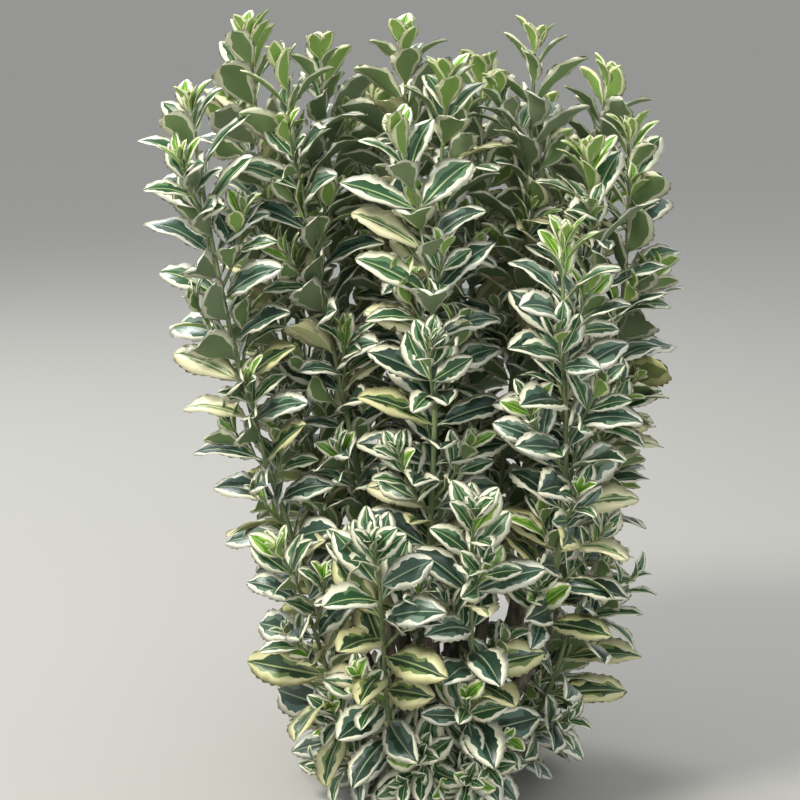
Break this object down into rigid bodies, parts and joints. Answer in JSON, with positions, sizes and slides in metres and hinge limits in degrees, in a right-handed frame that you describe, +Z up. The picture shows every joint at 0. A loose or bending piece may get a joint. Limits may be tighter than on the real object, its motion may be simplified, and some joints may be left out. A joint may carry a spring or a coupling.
{
  "type": "white spire japanese spindle shrub",
  "caption": "Upright evergreen shrub with narrow leafy spires of cream-edged green leaves, on woody stems from one flared root crown cut flat at the ground.",
  "frame": {"origin": "middle of the flat cut under the root crown, at ground level", "axes": "+Z up the plant; -Y is the front that the picture shows, +X to the viewer's right"},
  "size_m": [0.3633, 0.3312, 0.4997],
  "materials": {
    "bark": "rough grey-brown bark",
    "foliage": "leathery green leaves with cream edges on green stems"
  },
  "bodies": {
    "root": {"root_crown": "bark", "bough_centre": "bark", "bough_front": "bark", "bough_left_front": "bark", "bough_left": "bark", "bough_left_back": "bark", "bough_back_left": "bark", "bough_back": "bark", "bough_right_back": "bark", "bough_right_centre": "bark", "bough_right": "bark", "bough_right_front": "bark", "spire_centre": "foliage", "spire_centre_right": "foliage", "spire_front": "foliage", "spire_left_front": "foliage", "spire_left": "foliage", "spire_left_back": "foliage", "spire_back_far_left": "foliage", "spire_back_left": "foliage", "spire_back_low_left": "foliage", "spire_back_right": "foliage", "spire_back_low_right": "foliage", "spire_right_back": "foliage", "spire_back_far_right": "foliage", "spire_right_centre": "foliage", "spire_right": "foliage", "spire_right_low": "foliage", "spire_right_front": "foliage", "shoot_front_left": "foliage", "shoot_front_centre": "foliage", "shoot_front_right": "foliage", "shoot_side_right": "foliage", "shoot_ground_left": "foliage", "shoot_ground_front": "foliage", "shoot_ground_right": "foliage", "shoot_side_low_right": "foliage", "shoot_back_left": "foliage", "shoot_back_centre": "foliage", "shoot_back_right": "foliage", "shoot_ground_back_left": "foliage", "shoot_ground_back": "foliage"}
  },
  "joints": []
}
